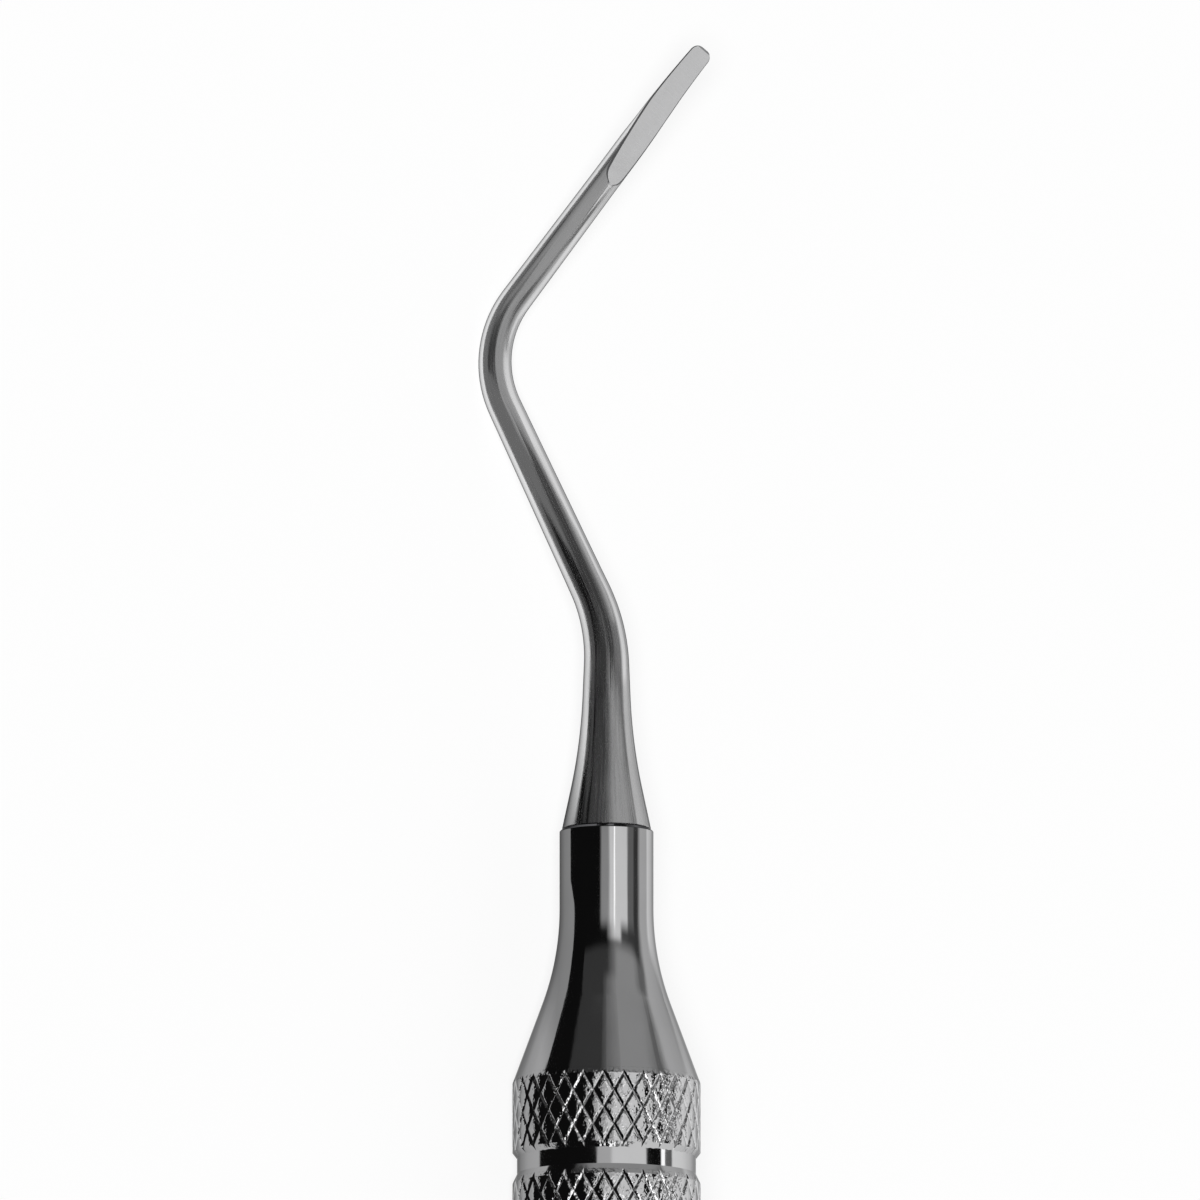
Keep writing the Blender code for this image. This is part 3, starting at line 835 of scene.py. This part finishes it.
def ground_steel(name, base, roughness):
    """Flat stoned face with fine lines across it."""
    steel = SteelNodes(name, base, roughness, SATIN_EDGE)
    lines = steel.noise(across=1.2, along=22.0, detail=4.0)
    cloud = steel.noise(across=0.9, along=0.7)
    steel.rough(lines, GROUND_ROUGHNESS)
    steel.link(steel.bump(lines, STONE_LINES), "Normal")
    steel.link(steel.clouded(cloud, GROUND_DULL), "Base Color")
    return steel.material


def dress(piece, node):
    """Put a finished piece in place of its CAD node."""
    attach(piece, "root")
    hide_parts(node)


def view_axes(tilt, roll):
    """Right, up and towards the camera: square to the plane of the bends, tilted towards the butt."""
    right = Vector((math.cos(roll), 0, math.sin(roll)))
    front = Vector((-math.sin(roll), 0, math.cos(roll)))
    along = Vector((0, 1, 0))
    towards = front * math.cos(tilt) - along * math.sin(tilt)
    up = along * math.cos(tilt) + front * math.sin(tilt)
    return right, up, towards


def empty_material(name):
    """New material without any nodes, and its tree."""
    material = bpy.data.materials.new(name)
    material.use_nodes = True
    material.node_tree.nodes.clear()
    return material, material.node_tree


def card_glow():
    """Plain glow of the reflector cards, as bright as each point's own value."""
    material, tree = empty_material("card_glow")
    brightness = add_node(tree, "Attribute", {}, attribute_name="brightness")
    emission = add_node(tree, "Emission", {"Strength": brightness.outputs["Fac"]})
    add_node(tree, "OutputMaterial", {"Surface": emission.outputs[0]})
    return material


def card(name, rows, glow):
    """Reflector card over rows of (point, brightness), which is seen only where the steel mirrors it."""
    width = len(rows[0])
    points = [point for row in rows for point, _brightness in row]
    starts = [row * width + n for row in range(len(rows) - 1) for n in range(width - 1)]
    mesh = bpy.data.meshes.new(name)
    mesh.from_pydata(points, [], [(n, n + 1, n + width + 1, n + width) for n in starts])
    levels = mesh.attributes.new("brightness", "FLOAT", "POINT")
    levels.data.foreach_set("value", [brightness for row in rows for _point, brightness in row])
    mesh.materials.append(glow)
    made = placed(name, mesh)
    for rays in ("camera", "diffuse", "shadow", "transmission", "volume_scatter"):
        setattr(made, "visible_" + rays, False)


# Brightness of the reflector cards, from black paper to a lamp, where 1 is the white of the room
BLACK = 0.006
DARK = 0.05
DIM = 0.17
GREY = 0.36
PALE = 0.57
LIGHT = 0.87
WHITE = 1.0
LAMP = 1.7

# Cards round the instrument for each part that mirrors them, as (first edge, last edge, brightness) in
# degrees from the camera's side over the right. Between two cards the brightness runs from one to the
# other, and a card whose edges are the same is only a turn in it.
FOR_KNURL_WALLS = [(-52, 1, BLACK), (3, 17, LAMP), (20, 40, DIM), (48, 137, LIGHT)]
FOR_RING_GROOVES = [
    (-52, -13, BLACK), (-12, 6, PALE), (8, 51, LIGHT), (53, 72, BLACK),
    (74, 78, LAMP), (79, 89, DIM), (91, 137, WHITE),
]
FOR_NOSE = [
    (-52, -16, BLACK), (-12, 5, GREY), (9, 16, LIGHT), (17, 20, LAMP), (21, 51, LIGHT),
    (54, 66, DIM), (71, 80, DARK), (88, 110, PALE), (117, 137, WHITE),
]
FOR_NOSE_END = [(-52, 2, BLACK), (17, 32, LIGHT), (36, 80, DARK), (90, 137, PALE)]
FOR_FLARE_START = [(-52, 4, BLACK), (16, 56, DIM), (72, 80, DARK), (92, 137, PALE)]
FOR_FLARE = [(-52, 4, DARK), (26, 62, GREY), (76, 86, DIM), (93, 137, PALE)]
FOR_NECK = [(-52, -10, DARK), (22, 78, GREY), (90, 108, LIGHT), (122, 137, PALE)]
FOR_LEGS = [(-52, -52, DIM), (-20, 64, GREY), (86, 106, LIGHT), (120, 137, PALE)]
FOR_FAR_END = [(-52, 137, DARK)]
FOR_NECK_MIDDLE = [(0, 0, DIM), (10, 32, DARK), (46, 74, DIM), (92, 116, LIGHT)]
FOR_LEG_MIDDLE = [(-56, -10, DIM), (4, 32, DARK), (52, 52, DIM), (76, 76, PALE)]
FOR_SECOND_LEG = [(-18, 44, GREY)]
FOR_BLADE = [(38, 86, LIGHT)]

# Zones of the tent, as (first edge, last edge, cards) along Y in mm
TENT = [
    (-1600, 16, FOR_KNURL_WALLS),
    (19, 38.5, FOR_RING_GROOVES),
    (40, 47, FOR_NOSE),
    (51, 53, FOR_NOSE_END),
    (55, 55, FOR_FLARE_START),
    (58.5, 67, FOR_FLARE),
    (73, 84, FOR_NECK),
    (89, 115, FOR_LEGS),
    (150, 2000, FOR_FAR_END),
]

# Small cards over parts of the working end, as (name, distance of the part along the axis, first edge and
# last edge along Y, cards) in mm
ARCS = [
    ("neck_arc", 9.0, 49.5, 64, FOR_NECK_MIDDLE),
    ("leg_arc", 17.5, 54, 64, FOR_LEG_MIDDLE),
    ("second_leg_arc", 33.0, 61, 76, FOR_SECOND_LEG),
    ("blade_arc", 40.2, 65.5, 79, FOR_BLADE),
]


def edges(cards):
    """(edge, what lies there) in turn, from (first edge, last edge, what lies between them)."""
    turns = []
    for first, last, what in cards:
        turns.append((first, what))
        if last != first:
            turns.append((last, what))
    return turns


def build_arc(name, centre, radius, zones, roll, glow):
    """Sheet of reflector cards in an arc round an (x, z) centre."""
    rows = []
    for place, cards in edges(zones):
        levels = edges(cards)
        row = []
        for degrees in range(levels[0][0], levels[-1][0] + 1):
            around = math.radians(degrees) - roll
            x = centre[0] + radius * math.sin(around)
            row.append(((x, place * MM, centre[1] + radius * math.cos(around)), value_at(levels, degrees)))
        rows.append(row)
    card(name, rows, glow)


def build_arcs(studio, sizes, roll, glow):
    """The tent round the handle, and the small arcs over parts of the working end."""
    build_arc("tent", (0, AXIS_HEIGHT), studio.tent_radius, TENT, roll, glow)
    for name, distance, first, last, cards in ARCS:
        right = axis_at(sizes, distance * MM)[0].x
        centre = (right * math.cos(roll), AXIS_HEIGHT + right * math.sin(roll))
        build_arc(name, centre, studio.arc_radius, [(first, last, cards)], roll, glow)


# Zones of the card on the floor, as (first edge, last edge, part) along Y in mm. A part holds the x of its
# paler side's two edges in mm, the brightness there, and the brightness beyond.
FLOOR_CARD = [
    (-150, 31, (1, -8.4, PALE, BLACK)),
    (34, 34, (1, -8.4, GREY, BLACK)),
    (36.5, 36.5, (1, -8.2, GREY, BLACK)),
    (38, 41, (1, -5.8, GREY, BLACK)),
    (46, 46, (1, -5.6, LIGHT, BLACK)),
    (55, 55, (12, -5.4, WHITE, DIM)),
    (90, 90, (12, -6.0, WHITE, DIM)),
    (98, 500, (12, -6.0, PALE, DIM)),
]
FLOOR_CARD_HEIGHT = 0.05
FLOOR_CARD_STEP = 0.05
FLOOR_CARD_FADE = (-18.0, -23.0)
FLOOR_CARD_OUTER = -400.0


def build_floor_card(glow):
    """Reflector card on the floor beside the instrument, seen only where the steel mirrors it, where it
    paints a painted reflection: pale near it, dark past an edge and black far out.
    """
    fade_start, fade_end = FLOOR_CARD_FADE
    rows = []
    for y, (inner, edge, pale, dark) in edges(FLOOR_CARD):
        levels = [
            (inner, pale),
            (edge, pale),
            (edge - FLOOR_CARD_STEP, dark),
            (fade_start, dark),
            (fade_end, BLACK),
            (FLOOR_CARD_OUTER, BLACK),
        ]
        rows.append([((x * MM, y * MM, FLOOR_CARD_HEIGHT * MM), brightness) for x, brightness in levels])
    card("floor_card", rows, glow)


def seen_or_mirrored(tree):
    """1 for camera, glossy and transmission rays, and 0 for the rest."""
    path = add_node(tree, "LightPath", {})
    total = path.outputs["Is Camera Ray"]
    for name in ("Is Glossy Ray", "Is Transmission Ray"):
        total = add_node(tree, "Math", {0: total, 1: path.outputs[name]}, operation="MAXIMUM").outputs[0]
    return total


def build_floor(studio):
    """Wide pale floor that keeps the shadow, with some plain white in it as seen and as mirrored."""
    half = studio.floor_size / 2
    mesh = bpy.data.meshes.new("floor")
    corners = [(-half, -half, 0), (half, -half, 0), (half, half, 0), (-half, half, 0)]
    mesh.from_pydata(corners, [], [(0, 1, 2, 3)])
    placed("floor", mesh)
    material, tree = empty_material("floor_paper")
    paper = add_node(tree, "BsdfDiffuse", {"Color": (*studio.floor_colour, 1)})
    white = add_node(tree, "Emission", {})
    seen = seen_or_mirrored(tree)
    glow = add_node(tree, "Math", {0: seen, 1: studio.floor_glow}, operation="MULTIPLY")
    mix = add_node(tree, "MixShader", {0: glow.outputs[0], 1: paper.outputs[0], 2: white.outputs[0]})
    add_node(tree, "OutputMaterial", {"Surface": mix.outputs[0]})
    mesh.materials.append(material)


def build_room(studio):
    """Even white room: full white as seen and mirrored, and dimmer as a light."""
    world = bpy.data.worlds.new("room")
    world.use_nodes = True
    bpy.context.scene.world = world
    tree = world.node_tree
    background = tree.nodes["Background"]
    background.inputs["Color"].default_value = (1, 1, 1, 1)
    inputs = {"Value": seen_or_mirrored(tree), "To Min": studio.room_light, "To Max": 1}
    strength = add_node(tree, "MapRange", inputs)
    tree.links.new(strength.outputs["Result"], background.inputs["Strength"])


def build_key(studio, towards):
    """Soft key at the camera, which lights the floor and throws the shadow behind the instrument."""
    light = bpy.data.lights.new("key", "SUN")
    light.energy = studio.key_light
    light.angle = studio.key_spread
    key = placed("key", light)
    key.rotation_mode = "QUATERNION"
    key.rotation_quaternion = towards.to_track_quat("Z", "Y")
    key.visible_glossy = False


def build_camera(studio, right, up, towards):
    """Long-lens camera that looks square on to the plane of the bends."""
    data = bpy.data.cameras.new("camera")
    data.lens = studio.lens
    distance = studio.view_width * data.lens / data.sensor_width
    aim = Vector((0, NOSE_Y, AXIS_HEIGHT)) - right * studio.view_left + up * studio.view_ahead
    camera = placed("camera", data)
    axes = Matrix((right, up, towards)).transposed()
    camera.matrix_world = Matrix.Translation(aim + towards * distance) @ axes.to_4x4()
    data.clip_start, data.clip_end = (distance * part for part in CLIP)
    bpy.context.scene.camera = camera


class ELEVATOR_OT_handle(bpy.types.Operator):
    """Build the knurled handle in place of its CAD node"""

    bl_idname = "elevator.handle"
    bl_label = "Handle"

    def execute(self, context):
        sizes = context.scene.elevator_handle
        steel = polished_steel("handle_steel", tuple(sizes.steel), sizes.roughness)
        # Near-black steel on the nose's edge: painted shade for the seam's shadow line
        seam = polished_steel("painted_seam_shade_steel", tuple(sizes.painted_seam_shade_steel), sizes.roughness)
        piece = handle_skin(sizes).piece("knurled_handle", TURNED_SHARP, [steel, seam])
        dress(piece, "handle")
        return {"FINISHED"}


class ELEVATOR_OT_working_end(bpy.types.Operator):
    """Build the bent working end in place of its CAD node"""

    bl_idname = "elevator.working_end"
    bl_label = "Working end"

    def execute(self, context):
        sizes = context.scene.elevator_working_end
        satin = satin_steel("shank_steel", tuple(sizes.steel), sizes.roughness)
        ground = ground_steel("blade_face_steel", tuple(sizes.face_steel), sizes.face_roughness)
        # Dark steel for the face's edge and the tip's end: painted shade for their dark outline
        stoned = ground_steel("blade_edge_painted_shade", tuple(sizes.edge_painted_shade), sizes.face_roughness)
        piece = working_end_skin(sizes).piece("bent_working_end", GROUND_SHARP, [satin, ground, stoned])
        dress(piece, "working_end")
        return {"FINISHED"}


class ELEVATOR_OT_end_plug(bpy.types.Operator):
    """Build the domed end plug in place of its CAD node"""

    bl_idname = "elevator.end_plug"
    bl_label = "End plug"

    def execute(self, context):
        sizes = context.scene.elevator_plug
        steel = polished_steel("plug_steel", tuple(sizes.steel), sizes.roughness)
        skin = plug_skin(sizes, context.scene.elevator_handle)
        piece = skin.piece("domed_end_plug", TURNED_SHARP, [steel])
        dress(piece, "end_plug")
        return {"FINISHED"}


class ELEVATOR_OT_studio(bpy.types.Operator):
    """Build the floor, the light, the reflector cards and the camera"""

    bl_idname = "elevator.studio"
    bl_label = "Studio"

    def execute(self, context):
        studio = context.scene.elevator_studio
        roll = rest_roll(context.scene.elevator_working_end)
        right, up, towards = view_axes(studio.tilt, roll)
        context.scene.view_settings.view_transform = "Standard"
        build_floor(studio)
        build_room(studio)
        build_key(studio, towards)
        glow = card_glow()
        build_arcs(studio, context.scene.elevator_working_end, roll, glow)
        build_floor_card(glow)
        build_camera(studio, right, up, towards)
        return {"FINISHED"}


class ELEVATOR_PT_sidebar(bpy.types.Panel):
    """The elevator's pieces and its studio"""

    bl_idname = "ELEVATOR_PT_sidebar"
    bl_label = "Root tip elevator"
    bl_space_type = "VIEW_3D"
    bl_region_type = "UI"
    bl_category = "Elevator"

    def draw(self, context):
        for operator in OPERATORS:
            self.layout.operator(operator.bl_idname)


OPERATORS = [ELEVATOR_OT_handle, ELEVATOR_OT_working_end, ELEVATOR_OT_end_plug, ELEVATOR_OT_studio]
GROUPS = {
    "elevator_handle": ElevatorHandle,
    "elevator_working_end": ElevatorWorkingEnd,
    "elevator_plug": ElevatorPlug,
    "elevator_studio": ElevatorStudio,
}


def register():
    for made in [*GROUPS.values(), *OPERATORS, ELEVATOR_PT_sidebar]:
        bpy.utils.register_class(made)
    for name, group in GROUPS.items():
        setattr(bpy.types.Scene, name, PointerProperty(type=group))


def unregister():
    for name in GROUPS:
        delattr(bpy.types.Scene, name)
    for made in [ELEVATOR_PT_sidebar, *reversed(OPERATORS), *reversed(GROUPS.values())]:
        bpy.utils.unregister_class(made)


def main():
    register()
    bpy.ops.elevator.handle()
    bpy.ops.elevator.working_end()
    bpy.ops.elevator.end_plug()
    bpy.ops.elevator.studio()
    bpy.context.view_layer.update()


if __name__ == "__main__":
    main()
